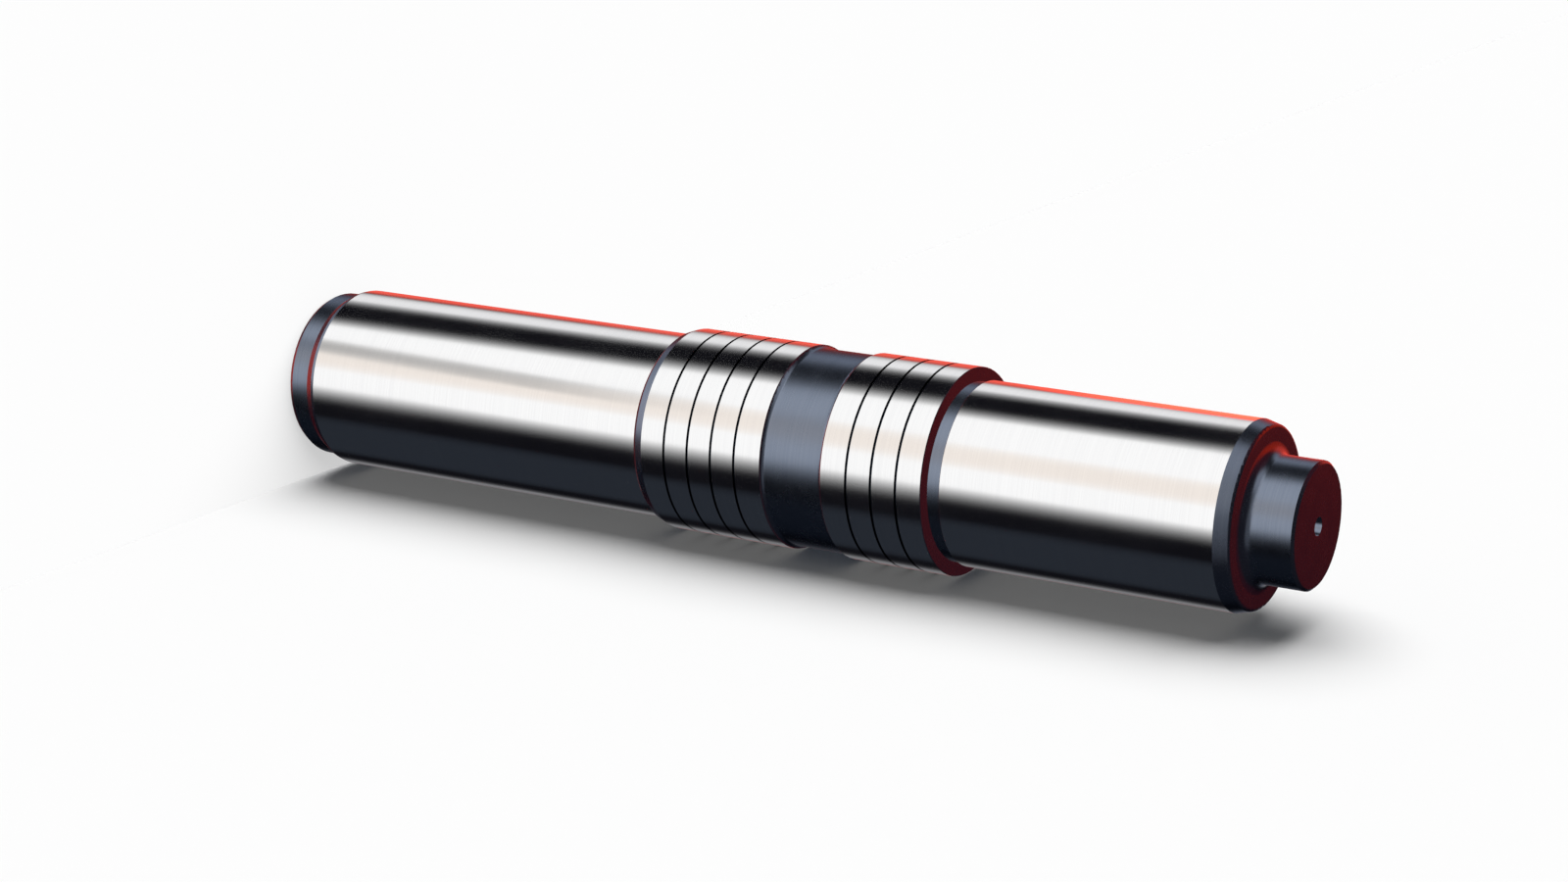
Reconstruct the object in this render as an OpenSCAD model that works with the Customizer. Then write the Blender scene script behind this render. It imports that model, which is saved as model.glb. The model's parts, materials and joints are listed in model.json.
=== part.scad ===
// Piston of a hydraulic breaker, turned from one steel bar.
// It stands on its strike face at z = 0, with the axis along +Z and the gas end on top.

/* [Nose] */
// Diameter of the nose above the strike face
nose_d = 130; // [112:1:136]
// Length of the nose, from the strike face to the foot of its shoulder
nose_l = 18; // [12:0.5:40]
// Bevel round the strike face, measured across the radius
strike_bevel = 2; // [0.5:0.5:5]
// Slope of the bevel and of the nose's shoulder, from the axis
nose_slope = 30; // [20:1:50]

/* [Lower rod] */
// Diameter of the ground lower rod
lower_rod_d = 140; // [136:1:144]
// Length of the lower rod with its shoulder, from the nose to the foot of the lower head
lower_rod_l = 312; // [200:1:450]
// Lead-in at the rod's lower end, measured across the radius
rod_lead = 0.8; // [0.4:0.1:1.6]
// Slope of the rod's lead-in, from the axis
rod_lead_slope = 15; // [10:1:30]

/* [Heads] */
// Diameter of both piston heads
head_d = 152; // [150:1:170]
// Length of the lower head, from the foot of its lead-in to its upper edge
lower_head_l = 112; // [105:1:160]
// Step at the foot of the lower head, measured across the radius
head_step = 3.6; // [1:0.1:4]
// Slope of that step, from the axis
head_step_slope = 45; // [35:1:60]
// Slope of the lead-in above the step, from the axis
head_lead_slope = 20; // [15:1:30]
// Length of the upper head, from the waist to its shoulder
upper_head_l = 81; // [72:1:120]
// Small chamfer that breaks the sharp outer edges of the heads and the upper rod
edge_break = 0.4; // [0.2:0.1:0.8]

/* [Oil grooves] */
// Width of a groove
groove_w = 2; // [1:0.1:4]
// Depth of a groove below the land
groove_depth = 2; // [0.5:0.1:3]
// Distance from one groove to the next
groove_pitch = 20; // [16:0.5:21]
// Number of grooves in the lower head
lower_grooves = 4; // [2:1:4]
// Number of grooves in the upper head
upper_grooves = 3; // [2:1:3]
// Last groove of the lower head, below the head's upper edge
lower_groove_inset = 22; // [15:0.5:26]
// Last groove of the upper head, below the head's upper edge
upper_groove_inset = 20; // [15:0.5:25]

/* [Waist] */
// Diameter of the waist between the heads
waist_d = 147; // [140:1:148]
// Length of the waist, from head to head
waist_l = 50; // [30:1:90]
// Fillet where the waist runs out into the heads
waist_fillet = 4; // [3:0.5:12]

/* [Upper rod] */
// Diameter of the ground upper rod
upper_rod_d = 135; // [133:1:146]
// Length of the ground upper rod, from the relief to the taper
upper_rod_l = 206; // [120:1:320]
// Diameter of the grinding relief above the upper head
relief_d = 131; // [126:1:132]
// Length of the grinding relief
relief_l = 10; // [5:0.5:20]
// Length of the taper at the rod's upper end
taper_l = 11; // [5:0.5:20]
// Slope of that taper, from the axis
taper_slope = 15; // [5:1:25]
// Radius that rounds the taper's upper edge
taper_round = 2.5; // [0.5:0.5:4]

/* [Spigot] */
// Diameter of the spigot at the gas end
spigot_d = 90; // [70:1:98]
// Length of the spigot
spigot_l = 37.5; // [25:0.5:60]
// Fillet at the root of the spigot
spigot_fillet = 8; // [3:0.5:10]
// Chamfer at the spigot's end
spigot_chamfer = 2; // [0.5:0.5:4]

/* [Lifting hole] */
// Diameter of the hole in the spigot's end
hole_d = 13.5; // [8:0.5:20]
// Depth of the hole, down to its drill point
hole_depth = 32; // [20:1:60]
// Angle of the drill point
hole_point_angle = 118; // [90:1:140]

/* [Hidden] */
$fn = 180;
// Overlap of a cutter past the face that it cuts
cut = 1;

nose_r = nose_d / 2;
lower_rod_r = lower_rod_d / 2;
head_r = head_d / 2;
waist_r = waist_d / 2;
relief_r = relief_d / 2;
upper_rod_r = upper_rod_d / 2;
taper_end_r = upper_rod_r - taper_l * tan(taper_slope);
spigot_r = spigot_d / 2;
hole_r = hole_d / 2;

// Heights of the sections above the strike face
lower_rod_z = nose_l;
lower_head_z = lower_rod_z + lower_rod_l;
waist_z = lower_head_z + lower_head_l;
upper_head_z = waist_z + waist_l;
relief_z = upper_head_z + upper_head_l;
upper_rod_z = relief_z + relief_l;
taper_z = upper_rod_z + upper_rod_l;
spigot_z = taper_z + taper_l;
top_z = spigot_z + spigot_l;

// The waist's fillets run out one edge break below the edges of the heads
waist_climb = head_r - waist_r - 2 * edge_break;
// Distance from the taper's upper edge to where its rounding starts, along the taper and along the face
round_tangent = taper_round / tan(45 + taper_slope / 2);
// Outer radius of the flat face round the spigot
face_r = taper_end_r - round_tangent;

// Height of a cone that climbs a step across the radius at a slope from the axis
function rise(step, slope) = step / tan(slope);

// Points of the half section, each as [radius, height]

nose_outline = [
    [0, 0],
    [nose_r - strike_bevel, 0],
    [nose_r, rise(strike_bevel, nose_slope)],
    [nose_r, lower_rod_z]
];

shoulder_rise = rise(lower_rod_r - rod_lead - nose_r, nose_slope);
lower_rod_outline = [
    [lower_rod_r - rod_lead, lower_rod_z + shoulder_rise],
    [lower_rod_r, lower_rod_z + shoulder_rise + rise(rod_lead, rod_lead_slope)],
    [lower_rod_r, lower_head_z]
];

step_rise = rise(head_step, head_step_slope);
head_lead = head_r - lower_rod_r - head_step;
lower_head_outline = [
    [lower_rod_r + head_step, lower_head_z + step_rise],
    [head_r, lower_head_z + step_rise + rise(head_lead, head_lead_slope)],
    [head_r, waist_z - edge_break],
    [head_r - edge_break, waist_z],
    [waist_r, waist_z]
];

upper_head_outline = [
    [waist_r, upper_head_z],
    [head_r - edge_break, upper_head_z],
    [head_r, upper_head_z + edge_break],
    [head_r, relief_z - edge_break],
    [head_r - edge_break, relief_z],
    [relief_r, relief_z]
];

upper_rod_outline = [
    [relief_r, upper_rod_z],
    [upper_rod_r - edge_break, upper_rod_z],
    [upper_rod_r, upper_rod_z + edge_break],
    [upper_rod_r, taper_z],
    [taper_end_r + round_tangent * sin(taper_slope), spigot_z - round_tangent * cos(taper_slope)],
    [face_r, spigot_z]
];

spigot_outline = [
    [spigot_r, spigot_z],
    [spigot_r, top_z - spigot_chamfer],
    [spigot_r - spigot_chamfer, top_z],
    [0, top_z]
];

// Fillet of the half section in the corner between a cylinder and a face above or below it.
// The corner is at [corner_r, corner_z], and side is 1 for a face below the fillet, -1 for one above.
// It climbs the face up to height_limit, and runs out there where its radius is larger.
module corner_fillet(corner_r, corner_z, side, radius, height_limit) {
    height = min(radius, height_limit);
    reach = sqrt(radius * radius - (radius - height) * (radius - height));
    translate([corner_r, corner_z])
    scale([1, side])
    difference() {
        square([height, reach]);
        translate([radius, reach]) circle(radius);
    }
}

// Square grooves of the half section, counted down from the last one
module grooves(last_z, count) {
    for (i = [0 : count - 1])
        translate([head_r - groove_depth, last_z - i * groove_pitch - groove_w / 2])
            square([groove_depth + cut, groove_w]);
}

module half_section() {
    difference() {
        union() {
            polygon(concat(nose_outline, lower_rod_outline, lower_head_outline,
                           upper_head_outline, upper_rod_outline, spigot_outline));
            corner_fillet(waist_r, waist_z, 1, waist_fillet, waist_climb);
            corner_fillet(waist_r, upper_head_z, -1, waist_fillet, waist_climb);
            corner_fillet(spigot_r, spigot_z, 1, spigot_fillet, face_r - spigot_r);
            // The taper's rounded upper edge
            translate([face_r, spigot_z - taper_round]) circle(taper_round);
        }
        grooves(waist_z - lower_groove_inset, lower_grooves);
        grooves(relief_z - upper_groove_inset, upper_grooves);
    }
}

// Drilled hole with its conical point, down from the spigot's end face
module lifting_hole() {
    point_h = hole_r / tan(hole_point_angle / 2);
    translate([0, 0, top_z - hole_depth]) {
        cylinder(r = hole_r, h = hole_depth + cut);
        translate([0, 0, -point_h]) cylinder(r1 = 0, r2 = hole_r, h = point_h);
    }
}

module piston() {
    color("silver")
    difference() {
        rotate_extrude() half_section();
        lifting_hole();
    }
}

piston();
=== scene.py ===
# Looks of a hydraulic breaker piston: ground and blackened steel in a pale studio.
# Lengths are in metres and angles in degrees. The piston stands on its strike face, with its axis along +Z.
import json
import math

import bpy
from mathutils import Matrix, Vector


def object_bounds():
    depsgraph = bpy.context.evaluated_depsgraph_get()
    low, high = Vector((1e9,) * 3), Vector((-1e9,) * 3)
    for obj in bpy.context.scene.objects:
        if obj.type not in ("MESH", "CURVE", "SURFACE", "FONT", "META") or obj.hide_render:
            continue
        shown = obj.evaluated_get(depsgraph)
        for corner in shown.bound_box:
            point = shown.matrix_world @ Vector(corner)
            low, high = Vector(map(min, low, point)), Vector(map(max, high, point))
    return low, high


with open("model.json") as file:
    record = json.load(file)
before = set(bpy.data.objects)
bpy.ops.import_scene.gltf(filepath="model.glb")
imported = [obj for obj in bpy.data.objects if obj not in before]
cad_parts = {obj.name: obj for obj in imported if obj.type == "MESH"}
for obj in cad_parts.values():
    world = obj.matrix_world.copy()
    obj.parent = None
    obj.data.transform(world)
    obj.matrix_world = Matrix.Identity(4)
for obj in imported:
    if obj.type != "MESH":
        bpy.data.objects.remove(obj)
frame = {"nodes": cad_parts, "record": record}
cad_low, cad_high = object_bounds()

piston = frame["nodes"]["piston"]
head_radius = cad_high.x
height = cad_high.z

MM = 0.001
AXIS = (0, 0, 1)
ACROSS_AXIS = (1, 1, 0)
WHITE = (1, 1, 1, 1)

# Camera of the photograph, in which the piston lies on its side
CAMERA_PLACE = Vector((1.9019, -0.6049, 1.5527))
CAMERA_AIM = Vector((0, -0.0011, 0.4174))
PHOTO_UP = Vector((0, -1, 0))
PHOTO_WIDTH = 1600
FOCAL_PIXELS = 3156.8
SENSOR_WIDTH = 36

# Each steel has fine turning lines and larger patches, both as noise.
# They are given in periods per metre, along the turned section and round the axis.
NOISE_DETAIL = 3
# Middle of a noise's range, where most of its values are
NOISE_RANGE = (0.35, 0.65)
# Ground steel of the running surfaces
GROUND_DARK = (0.92, 0.92, 0.925, 1)
GROUND_LIGHT = (0.96, 0.96, 0.96, 1)
GROUND_ROUGHNESS = (0.10, 0.14)
GROUND_LINES = (900, 4)
GROUND_PATCHES = (14, 9)
GROUND_DEPTH = 0.0000008
# Blackened steel of the other surfaces; the oil grooves get a near-black colour as painted shade for their
# depth
BLACK_DARK = (0.213, 0.25, 0.325, 1)
BLACK_LIGHT = (0.238, 0.275, 0.35, 1)
BLACK_EDGE = (0.35, 0.36, 0.40, 1)
BLACK_ROUGHNESS = (0.25, 0.28)
BLACK_LINES = (700, 3)
BLACK_PATCHES = (60, 60)
BLACK_DEPTH = 0.000001
# Painted shade: the near-black colour of the grooves stands in for the shade of their depth
GROOVE_PAINTED_SHADE_DARK = (0.006, 0.01, 0.018, 1)
GROOVE_PAINTED_SHADE_LIGHT = (0.01, 0.015, 0.025, 1)
GROOVE_ROUGHNESS = (0.35, 0.40)

# Depth of the oil grooves below the lands of the heads
GROOVE_BELOW = 0.002
# A face belongs to a turned surface if its corners are this close to it
SURFACE_TOLERANCE = 0.00005

# Pale floor under the piston, and the pale wall that it lies on in the photograph
STAGE_SIZE = 12
WALL_GAP = 0.0005
PALE = 0.9
PALE_TONE = 0.985
FLOOR_LIFT = 0.55
WALL_LIFT = 0
# Soft light of the dome, and of one lamp for each of the two sheets
DOME_STRENGTH = 0.17
LAMP_SPREAD = 64
FLOOR_LAMP_AIM = Vector((0, 0.8, -1)).normalized()
WALL_LAMP_AIM = Vector((0.25, 1, 0.12)).normalized()

# Reflection cards hang far out round the piston, and only the steel's reflections show them.
# Angles round the axis start at the camera's side of the piston and grow towards the photograph's top.
# Elevations are above the horizon of the middle of the piston, and a card's lean is given at LEAN_LEVEL.
CARD_DISTANCE = 30
CARD_STEP = 0.3
CARD_GRID = 3
LEAN_LEVEL = -29
# Power by which a card's cover fades towards its edges, so that the fade looks even
FADE_POWER = 2.4
BLACK = (0.005, 0.005, 0.007)
SLATE = (0.019, 0.023, 0.031)
PALE_GREY = (0.83, 0.83, 0.84)
GREY = (0.44, 0.43, 0.42)
DIM = (0.19, 0.19, 0.20)
LIGHT_GREY = (0.6, 0.6, 0.62)
WARM = (0.91, 0.84, 0.78)
RED = (0.94, 0.115, 0.08)
HOT_RED = (3.4, 0.26, 0.15)
HIGH_RED = (1.3, 0.06, 0.02)
LOW_RED = (0.55, 0.06, 0.05)
BASE_RED = (2.2, 0.17, 0.09)
SHADE_RED = (0.22, 0.022, 0.03)
DARK_RED = (0.1, 0.022, 0.031)
DUSK = (0.03, 0.028, 0.035)
# Name, first and last angle round the axis and the softness of those edges,
# lowest and highest elevation and the softness of those,
# lean in degrees round the axis per degree up, and colour.
# The first card is the nearest, and each covers those after it.
CARDS = [
    ("line_card", 13.7, 24.7, 11, -60, -34.7, 5.6, -1.3, GREY),
    ("warm_card", 8, 26, 14, -60, 0, 8, 0, WARM),
    ("hot_red_card", 153, 174, 20, -22, 12, 6, 0, HOT_RED),
    ("high_red_card", 148, 170, 16, 4, 36, 14, 0, HIGH_RED),
    ("red_card", 151, 180, 20, -60, -18, 4, 0, RED),
    ("low_red_card", 136, 163, 12, -74, -44, 6, 0, LOW_RED),
    ("base_red_card", 95, 265, 14, -88, -75, 4, 0, BASE_RED),
    ("nadir_red_card", -180, 180, 0, -89, -80, 2, 0, LOW_RED),
    ("shade_red_card", 160, 222, 12, -76, -46, 6, 0, SHADE_RED),
    ("end_red_card", 95, 203, 24, 15, 50, 10, 0, DARK_RED),
    ("front_light_card", 50, 80, 20, 2, 34, 16, 0, LIGHT_GREY),
    ("front_dim_card", -48, -8, 26, 5, 40, 12, 0, DIM),
    ("top_card", -180, 180, 0, 24, 57, 64, 0, DUSK),
    ("zenith_card", -180, 180, 0, 42, 89, 0, 0, DUSK),
    ("rear_black_card", 75.5, 109.7, 20, -48, 45, 6, 0.4, BLACK),
    ("rear_grey_card", 90, 135.5, 21, -50, 4, 16, 0.25, PALE_GREY),
    ("slate_card", -122, -69, 16, -75, 45, 6, 0, SLATE),
    ("lower_black_card", -110, -34, 26, -75, 45, 6, 0, BLACK),
    ("edge_black_card", -146.5, -105, 17, -75, 45, 6, 0, BLACK),
    ("edge_light_card", -178, -158, 10, -17, -7, 6, 0, LIGHT_GREY),
    ("edge_grey_card", -196, -135, 8, -75, -14, 6, 0, DIM),
    ("rear_dark_card", 108, 222, 14, -75, 45, 6, 0, BLACK),
]


def add_node(tree, kind, **settings):
    node = tree.nodes.new(kind)
    for name, value in settings.items():
        setattr(node, name, value)
    return node


def new_material(name):
    material = bpy.data.materials.new(name)
    material.use_nodes = True
    tree = material.node_tree
    tree.nodes.clear()
    output = add_node(tree, "ShaderNodeOutputMaterial")
    return material, tree, output


def turned_coordinates(tree, along, around):
    """Coordinates for a noise on the turned surface, whose section is followed by height plus radius."""
    place = add_node(tree, "ShaderNodeTexCoord").outputs["Object"]
    flat = add_node(tree, "ShaderNodeVectorMath", operation="MULTIPLY")
    flat.inputs[1].default_value = ACROSS_AXIS
    radius = add_node(tree, "ShaderNodeVectorMath", operation="LENGTH")
    split = add_node(tree, "ShaderNodeSeparateXYZ")
    path = add_node(tree, "ShaderNodeMath", operation="ADD")
    joined = add_node(tree, "ShaderNodeCombineXYZ")
    scaled = add_node(tree, "ShaderNodeVectorMath", operation="MULTIPLY")
    scaled.inputs[1].default_value = (around, around, along)
    tree.links.new(place, flat.inputs[0])
    tree.links.new(flat.outputs["Vector"], radius.inputs[0])
    tree.links.new(place, split.inputs[0])
    tree.links.new(split.outputs["Z"], path.inputs[0])
    tree.links.new(radius.outputs["Value"], path.inputs[1])
    tree.links.new(split.outputs["X"], joined.inputs["X"])
    tree.links.new(split.outputs["Y"], joined.inputs["Y"])
    tree.links.new(path.outputs[0], joined.inputs["Z"])
    tree.links.new(joined.outputs[0], scaled.inputs[0])
    return scaled.outputs["Vector"]


def noise(tree, periods):
    texture = add_node(tree, "ShaderNodeTexNoise")
    texture.inputs["Scale"].default_value = 1
    texture.inputs["Detail"].default_value = NOISE_DETAIL
    tree.links.new(turned_coordinates(tree, *periods), texture.inputs["Vector"])
    return texture.outputs["Fac"]


def spread(tree, value, low, high):
    """The middle of a noise's range, stretched to run from low to high."""
    mapped = add_node(tree, "ShaderNodeMapRange")
    mapped.inputs["From Min"].default_value = NOISE_RANGE[0]
    mapped.inputs["From Max"].default_value = NOISE_RANGE[1]
    mapped.inputs["To Min"].default_value = low
    mapped.inputs["To Max"].default_value = high
    tree.links.new(value, mapped.inputs["Value"])
    return mapped.outputs["Result"]


def socket_of(sockets, identifier):
    """One of a mix node's sockets, which share their names between the types of data."""
    return next(socket for socket in sockets if socket.identifier == identifier)


def blend_colours(tree, share, first, second):
    mixed = add_node(tree, "ShaderNodeMix", data_type="RGBA")
    socket_of(mixed.inputs, "A_Color").default_value = first
    socket_of(mixed.inputs, "B_Color").default_value = second
    tree.links.new(share, socket_of(mixed.inputs, "Factor_Float"))
    return socket_of(mixed.outputs, "Result_Color")


def turned_normal(tree):
    """Normal of the turned surface: the mesh's own without its part round the axis.
    The mesh's own bends at its seam."""
    coordinates = add_node(tree, "ShaderNodeTexCoord")
    around = add_node(tree, "ShaderNodeVectorMath", operation="CROSS_PRODUCT")
    around.inputs[0].default_value = AXIS
    bent = add_node(tree, "ShaderNodeVectorMath", operation="PROJECT")
    straight = add_node(tree, "ShaderNodeVectorMath", operation="SUBTRACT")
    normal = add_node(tree, "ShaderNodeVectorTransform", vector_type="NORMAL",
                      convert_from="OBJECT", convert_to="WORLD")
    tree.links.new(coordinates.outputs["Object"], around.inputs[1])
    tree.links.new(coordinates.outputs["Normal"], bent.inputs[0])
    tree.links.new(around.outputs["Vector"], bent.inputs[1])
    tree.links.new(coordinates.outputs["Normal"], straight.inputs[0])
    tree.links.new(bent.outputs["Vector"], straight.inputs[1])
    tree.links.new(straight.outputs["Vector"], normal.inputs[0])
    return normal.outputs[0]


def bump(tree, value, depth, normal):
    raised = add_node(tree, "ShaderNodeBump")
    raised.inputs["Strength"].default_value = 1
    raised.inputs["Distance"].default_value = depth
    tree.links.new(value, raised.inputs["Height"])
    tree.links.new(normal, raised.inputs["Normal"])
    return raised.outputs["Normal"]


def metal(name, colours, edge, roughness, lines, patches, depth):
    """Steel with fine lines round the axis that change its shade, and patches of slightly different shine.
    Where the steel is seen at a flat angle, its colour goes towards edge."""
    material, tree, output = new_material(name)
    shader = add_node(tree, "ShaderNodeBsdfPrincipled")
    shader.inputs["Metallic"].default_value = 1
    shader.inputs["Specular Tint"].default_value = edge
    fine = noise(tree, lines)
    coarse = noise(tree, patches)
    colour = blend_colours(tree, spread(tree, fine, 0, 1), *colours)
    tree.links.new(colour, shader.inputs["Base Color"])
    tree.links.new(spread(tree, coarse, *roughness), shader.inputs["Roughness"])
    tree.links.new(bump(tree, fine, depth, turned_normal(tree)), shader.inputs["Normal"])
    tree.links.new(shader.outputs[0], output.inputs["Surface"])
    return material


def blackened_steel():
    return metal("blackened_steel", (BLACK_DARK, BLACK_LIGHT), BLACK_EDGE, BLACK_ROUGHNESS,
                 BLACK_LINES, BLACK_PATCHES, BLACK_DEPTH)


def ground_steel():
    return metal("ground_steel", (GROUND_DARK, GROUND_LIGHT), WHITE, GROUND_ROUGHNESS,
                 GROUND_LINES, GROUND_PATCHES, GROUND_DEPTH)


# Near-black steel whose dark colour is painted shade in the grooves
def groove_steel_painted_shade():
    return metal("groove_steel_painted_shade", (GROOVE_PAINTED_SHADE_DARK, GROOVE_PAINTED_SHADE_LIGHT), GROOVE_PAINTED_SHADE_LIGHT, GROOVE_ROUGHNESS,
                 BLACK_LINES, BLACK_PATCHES, BLACK_DEPTH)


def turned_faces(mount):
    """Faces of the piston that lie on the cylinder of a mount."""
    radius = mount["dims"]["r_mm"] * MM
    reach = mount["dims"]["length_mm"] * MM / 2
    middle = mount["pos_m"][2]
    mesh = piston.data
    at_radius = [abs(vertex.co.xy.length - radius) < SURFACE_TOLERANCE for vertex in mesh.vertices]
    return [
        face for face in mesh.polygons
        if abs(face.center.z - middle) < reach and all(at_radius[corner] for corner in face.vertices)
    ]


def groove_faces():
    """Faces of the oil grooves.
    Each has a corner at the grooves' bottom radius, and its others there or at the radius of the lands."""
    mesh = piston.data
    bottom = head_radius - GROOVE_BELOW
    radii = [vertex.co.xy.length for vertex in mesh.vertices]
    at_bottom = [abs(radius - bottom) < SURFACE_TOLERANCE for radius in radii]
    at_land = [abs(radius - head_radius) < SURFACE_TOLERANCE for radius in radii]
    return [
        face for face in mesh.polygons
        if any(at_bottom[corner] for corner in face.vertices)
        and all(at_bottom[corner] or at_land[corner] for corner in face.vertices)
    ]


def dress(faces, material):
    """Give a new material to faces of the piston."""
    slots = piston.data.materials
    slots.append(material)
    for face in faces:
        face.material_index = len(slots) - 1


def dress_piston():
    """Blackened steel, with ground steel on the running surfaces that the mounts give, and a near-black steel
    in the grooves that is painted shade.
    The piston doesn't mirror itself, because in the photograph its shoulders mirror only the studio."""
    running = [mount for mount in frame["record"]["mounts"] if mount["fit"] == "running"]
    piston.data.materials.clear()
    dress(piston.data.polygons, blackened_steel())
    dress([face for mount in running for face in turned_faces(mount)], ground_steel())
    # The grooves' near-black colour is painted shade
    dress(groove_faces(), groove_steel_painted_shade())
    piston.visible_glossy = False


def background_rays(tree):
    """1 for rays that see the background: the camera's, and those that steel or glass sends on from there."""
    path = add_node(tree, "ShaderNodeLightPath")
    first = add_node(tree, "ShaderNodeMath", operation="MAXIMUM")
    second = add_node(tree, "ShaderNodeMath", operation="MAXIMUM")
    clean = add_node(tree, "ShaderNodeMath", operation="SUBTRACT", use_clamp=True)
    tree.links.new(path.outputs["Is Camera Ray"], first.inputs[0])
    tree.links.new(path.outputs["Is Glossy Ray"], first.inputs[1])
    tree.links.new(first.outputs[0], second.inputs[0])
    tree.links.new(path.outputs["Is Transmission Ray"], second.inputs[1])
    tree.links.new(second.outputs[0], clean.inputs[0])
    tree.links.new(path.outputs["Diffuse Depth"], clean.inputs[1])
    return clean.outputs[0]


def pale_paper(name, lift):
    """Pale matt paper, clear from behind.
    A share of its brightness, lift, is its own, so that it reads as white."""
    material, tree, output = new_material(name)
    matt = add_node(tree, "ShaderNodeBsdfDiffuse")
    shade = PALE * (1 - lift)
    matt.inputs["Color"].default_value = (shade, shade, shade, 1)
    own = add_node(tree, "ShaderNodeEmission")
    strength = add_node(tree, "ShaderNodeMath", operation="MULTIPLY")
    strength.inputs[1].default_value = PALE_TONE * lift
    both = add_node(tree, "ShaderNodeAddShader")
    clear = add_node(tree, "ShaderNodeBsdfTransparent")
    side = add_node(tree, "ShaderNodeNewGeometry").outputs["Backfacing"]
    one_sided = add_node(tree, "ShaderNodeMixShader")
    tree.links.new(background_rays(tree), strength.inputs[0])
    tree.links.new(strength.outputs[0], own.inputs["Strength"])
    tree.links.new(matt.outputs[0], both.inputs[0])
    tree.links.new(own.outputs[0], both.inputs[1])
    tree.links.new(side, one_sided.inputs["Fac"])
    tree.links.new(both.outputs[0], one_sided.inputs[1])
    tree.links.new(clear.outputs[0], one_sided.inputs[2])
    tree.links.new(one_sided.outputs[0], output.inputs["Surface"])
    return material


def stage_sheet(name, corners, material):
    """Flat sheet of the stage, seen from the side from which its corners run anticlockwise."""
    mesh = bpy.data.meshes.new(name)
    mesh.from_pydata(corners, [], [range(len(corners))])
    mesh.materials.append(material)
    sheet = bpy.data.objects.new(name, mesh)
    bpy.context.collection.objects.link(sheet)
    sheet.visible_diffuse = False
    sheet.visible_glossy = False
    sheet.visible_shadow = False
    return sheet


def soft_lamp(name, aim, sheet):
    """Wide soft lamp that brings one sheet of the stage to its tone, and leaves no spot on the steel."""
    data = bpy.data.lights.new(name, "SUN")
    slant = -aim.dot(sheet.data.polygons[0].normal)
    data.energy = math.pi * (PALE_TONE / PALE - DOME_STRENGTH) / slant
    data.angle = math.radians(LAMP_SPREAD)
    lamp = bpy.data.objects.new(name, data)
    bpy.context.collection.objects.link(lamp)
    lamp.rotation_mode = "QUATERNION"
    lamp.rotation_quaternion = aim.to_track_quat("-Z", "Y")
    lamp.visible_glossy = False
    lit = bpy.data.collections.new(name)
    lit.objects.link(sheet)
    lamp.light_linking.receiver_collection = lit


def make_stage():
    side = STAGE_SIZE / 2
    wall_y = head_radius + WALL_GAP
    floor_corners = [(-side, -side, 0), (side, -side, 0), (side, side, 0), (-side, side, 0)]
    wall_corners = [(-side, wall_y, 0), (side, wall_y, 0), (side, wall_y, side), (-side, wall_y, side)]
    floor = stage_sheet("floor", floor_corners, pale_paper("floor_paper", FLOOR_LIFT))
    soft_lamp("floor_lamp", FLOOR_LAMP_AIM, floor)
    wall = stage_sheet("wall", wall_corners, pale_paper("wall_paper", WALL_LIFT))
    soft_lamp("wall_lamp", WALL_LAMP_AIM, wall)


def card_material(name, colour):
    """Plain coloured light that fades out towards the card's edges, by the mesh's clear attribute.
    Light that the stage scatters passes through it, so that no colour falls on the paper."""
    material, tree, output = new_material(name)
    light = add_node(tree, "ShaderNodeEmission")
    light.inputs["Color"].default_value = (*colour, 1)
    clear = add_node(tree, "ShaderNodeBsdfTransparent")
    edge = add_node(tree, "ShaderNodeAttribute", attribute_name="clear")
    fade = add_node(tree, "ShaderNodeMath", operation="POWER")
    fade.inputs[1].default_value = FADE_POWER
    path = add_node(tree, "ShaderNodeLightPath")
    passed = add_node(tree, "ShaderNodeMath", operation="ADD", use_clamp=True)
    faded = add_node(tree, "ShaderNodeMixShader")
    tree.links.new(edge.outputs["Fac"], fade.inputs[0])
    tree.links.new(fade.outputs[0], passed.inputs[0])
    tree.links.new(path.outputs["Diffuse Depth"], passed.inputs[1])
    tree.links.new(passed.outputs[0], faded.inputs["Fac"])
    tree.links.new(light.outputs[0], faded.inputs[1])
    tree.links.new(clear.outputs[0], faded.inputs[2])
    tree.links.new(faded.outputs[0], output.inputs["Surface"])
    # Only reflections show a card, so it isn't sampled as a lamp
    material.cycles.emission_sampling = "NONE"
    return material


def card_stops(first, last, soft):
    """Angles from one edge of a card to the other, and how clear the card is at each."""
    start = first - soft / 2
    end = last + soft / 2
    count = math.ceil((end - start) / CARD_GRID)
    stops = []
    for i in range(count + 1):
        angle = start + (end - start) * i / count
        from_edge = min(angle - start, end - angle)
        clear = max(0, 1 - from_edge / soft) if soft else 0
        stops.append((angle, clear))
    return stops


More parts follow.
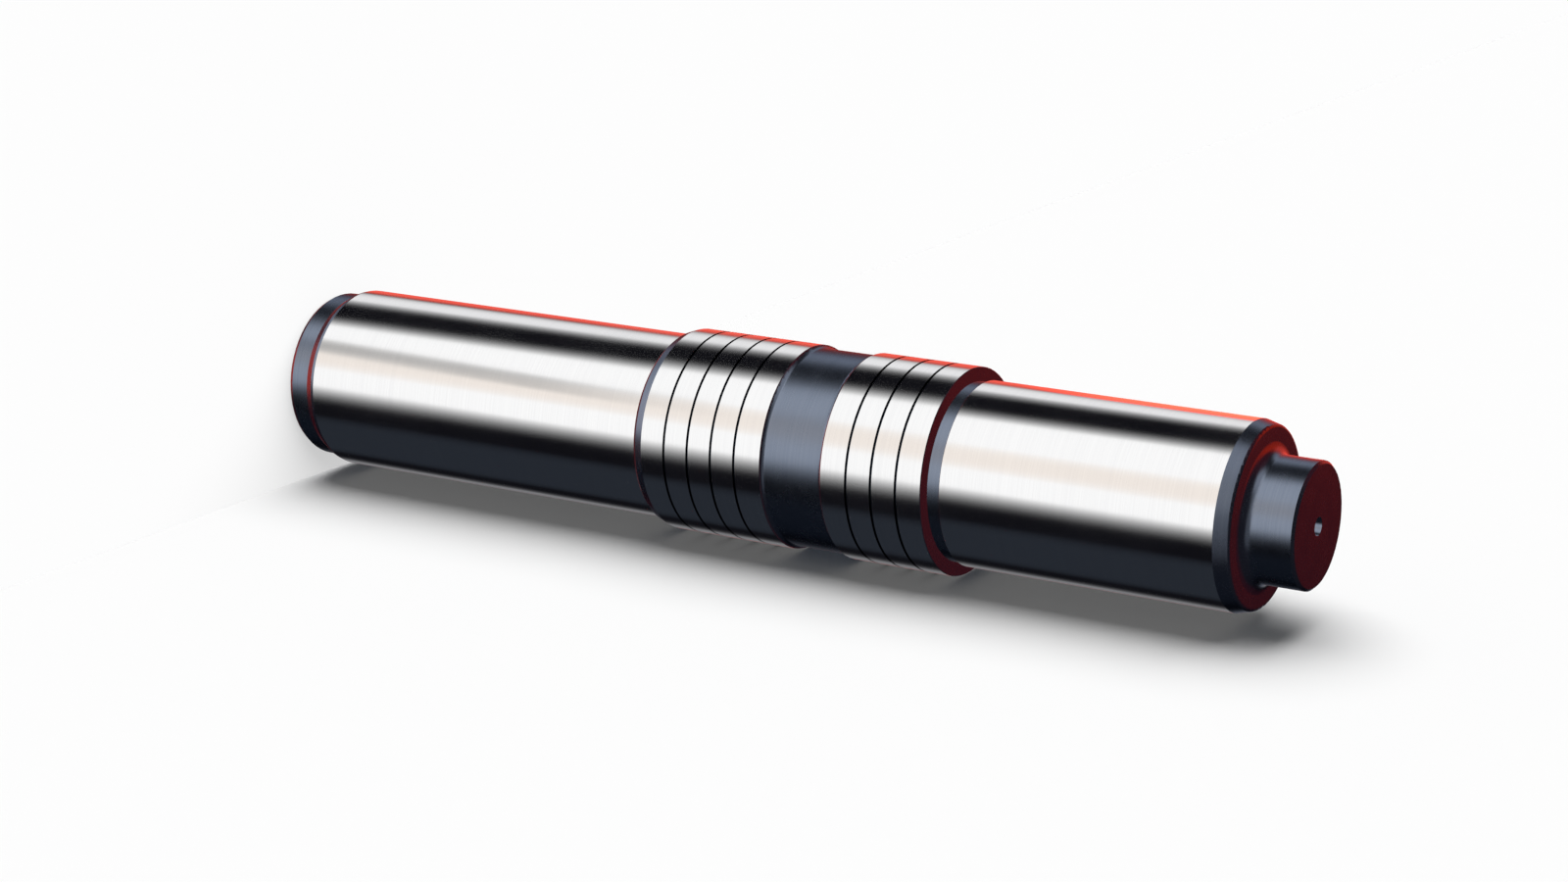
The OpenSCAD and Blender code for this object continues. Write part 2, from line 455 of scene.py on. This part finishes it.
def reflection_card(name, first, last, soft, low, high, tilt_soft, lean, colour, distance):
    """Part of a sphere round the middle of the piston."""
    camera_side = math.degrees(math.atan2(CAMERA_PLACE.y, CAMERA_PLACE.x))
    turns = card_stops(first, last, soft)
    tilts = card_stops(low, high, tilt_soft)
    points = []
    clear = []
    for tilt, tilt_clear in tilts:
        out = distance * math.cos(math.radians(tilt))
        up = distance * math.sin(math.radians(tilt))
        for turn, turn_clear in turns:
            angle = math.radians(camera_side - turn - lean * (tilt - LEAN_LEVEL))
            points.append((out * math.cos(angle), out * math.sin(angle), height / 2 + up))
            clear.append(max(tilt_clear, turn_clear))
    row = len(turns)
    faces = []
    for j in range(len(tilts) - 1):
        for i in range(row - 1):
            corner = j * row + i
            faces.append((corner, corner + 1, corner + row + 1, corner + row))
    mesh = bpy.data.meshes.new(name)
    mesh.from_pydata(points, [], faces)
    mesh.attributes.new("clear", "FLOAT", "POINT").data.foreach_set("value", clear)
    mesh.materials.append(card_material(name, colour))
    card = bpy.data.objects.new(name, mesh)
    bpy.context.collection.objects.link(card)
    card.visible_camera = False
    card.visible_diffuse = False
    card.visible_shadow = False


def make_world():
    """White all round: at full strength as a background, and as the soft light of a dome on the stage."""
    world = bpy.data.worlds.new("studio")
    world.use_nodes = True
    tree = world.node_tree
    background = tree.nodes["Background"]
    background.inputs["Color"].default_value = WHITE
    strength = add_node(tree, "ShaderNodeMapRange")
    strength.inputs["To Min"].default_value = DOME_STRENGTH
    strength.inputs["To Max"].default_value = 1
    tree.links.new(background_rays(tree), strength.inputs["Value"])
    tree.links.new(strength.outputs["Result"], background.inputs["Strength"])
    # The dome is even, so that scattered rays find its light without sampling
    world.cycles.sampling_method = "NONE"
    bpy.context.scene.world = world


def make_camera():
    data = bpy.data.cameras.new("camera")
    data.sensor_width = SENSOR_WIDTH
    data.lens = FOCAL_PIXELS / PHOTO_WIDTH * SENSOR_WIDTH
    camera = bpy.data.objects.new("camera", data)
    bpy.context.collection.objects.link(camera)
    backward = (CAMERA_PLACE - CAMERA_AIM).normalized()
    right = PHOTO_UP.cross(backward).normalized()
    upward = backward.cross(right)
    turn = Matrix((right, upward, backward)).transposed().to_4x4()
    camera.matrix_world = Matrix.Translation(CAMERA_PLACE) @ turn
    bpy.context.scene.camera = camera


make_camera()
make_world()
make_stage()
for place, card in enumerate(CARDS):
    reflection_card(*card, CARD_DISTANCE + place * CARD_STEP)
dress_piston()

bpy.context.scene.view_settings.view_transform = "Standard"
